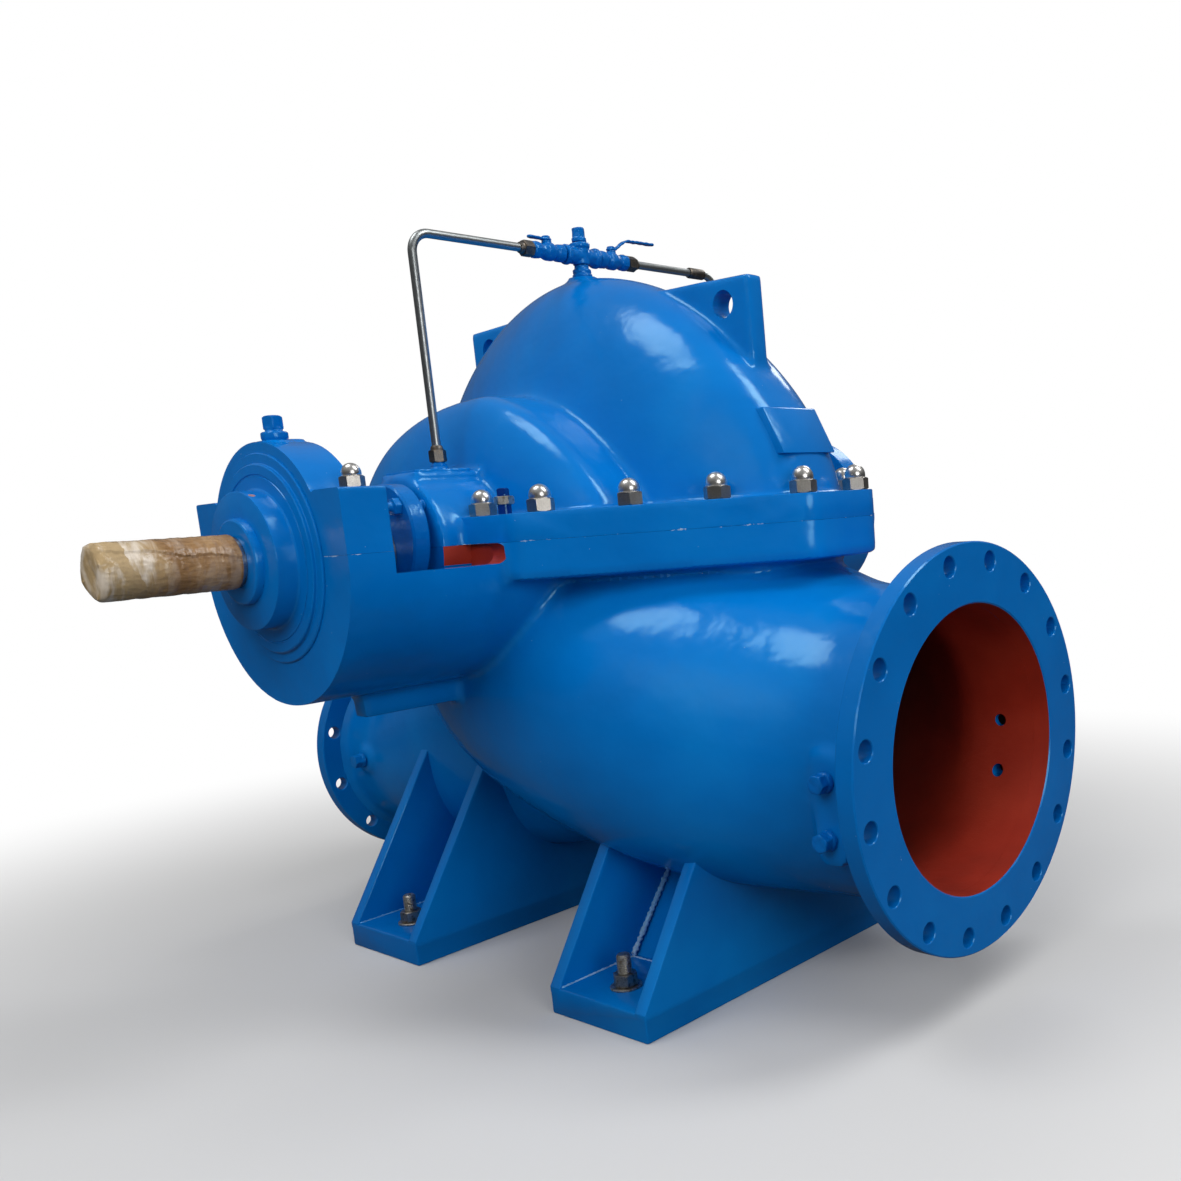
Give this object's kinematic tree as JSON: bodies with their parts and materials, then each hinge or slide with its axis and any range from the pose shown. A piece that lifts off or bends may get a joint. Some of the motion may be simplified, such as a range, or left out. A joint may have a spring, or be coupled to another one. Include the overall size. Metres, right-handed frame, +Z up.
{
  "type": "split case double-suction centrifugal water pump",
  "caption": "Axially split centrifugal pump with flanged side nozzles, bearing brackets, flush pipework and welded feet.",
  "frame": {"origin": "middle of the part's footprint on the floor", "axes": "+X towards the suction flange's side, -Y along the shaft towards the drive end, +Z up"},
  "size_m": [1.397, 1.381, 1.1843],
  "materials": {
    "casing_paint": "gloss blue enamel on cast iron",
    "foot_paint": "gloss blue enamel on welded plate",
    "housing_paint": "gloss blue enamel",
    "fitting_paint": "blue enamel brushed over fittings",
    "pipe_steel": "drawn steel tube",
    "nut_steel": "dark zinc",
    "shaft_steel": "turned steel",
    "wrapping_paper": "kraft paper under clear tape"
  },
  "bodies": {
    "root": {"lower_casing": "casing_paint", "upper_casing": "casing_paint", "suction_flange": "casing_paint", "discharge_flange": "casing_paint", "suction_foot": "foot_paint", "discharge_foot": "foot_paint", "drive_bearing_cap": "housing_paint", "drive_bearing_cover": "housing_paint", "drive_gland": "housing_paint", "drive_filler_plug": "fitting_paint", "drive_valve": "fitting_paint", "drive_adapter": "fitting_paint", "drive_flush_pipe": "pipe_steel", "drive_line_nut": "nut_steel", "drive_pad_nut": "nut_steel", "suction_drive_upper_plug": "fitting_paint", "suction_drive_lower_plug": "fitting_paint", "discharge_drive_plug": "fitting_paint", "rear_bearing_cap": "housing_paint", "rear_bearing_cover": "housing_paint", "rear_gland": "housing_paint", "rear_filler_plug": "fitting_paint", "rear_valve": "fitting_paint", "rear_adapter": "fitting_paint", "rear_flush_pipe": "pipe_steel", "rear_line_nut": "nut_steel", "rear_pad_nut": "nut_steel", "suction_rear_upper_plug": "fitting_paint", "suction_rear_lower_plug": "fitting_paint", "discharge_rear_plug": "fitting_paint", "vent_stem": "fitting_paint", "vent_cross": "fitting_paint", "vent_plug": "fitting_paint"},
    "rotor": {"shaft": "shaft_steel", "shaft_wrap": "wrapping_paper"},
    "drive_valve_lever": {"drive_lever": "fitting_paint"},
    "rear_valve_lever": {"rear_lever": "fitting_paint"}
  },
  "joints": [
    {"name": "shaft_spin", "type": "hinge", "parent": "root", "child": "rotor", "pos_m": [-0.0185, -0.4905, 0.69], "axis": [0, 1, 0], "continuous": true},
    {"name": "drive_valve_turn", "type": "hinge", "parent": "root", "child": "drive_valve_lever", "pos_m": [-0.0185, 0.0422, 1.164], "axis": [0, 0, 1], "range_deg": [0, 90]},
    {"name": "rear_valve_turn", "type": "hinge", "parent": "root", "child": "rear_valve_lever", "pos_m": [-0.0185, 0.1768, 1.164], "axis": [0, 0, 1], "range_deg": [0, 90]}
  ]
}
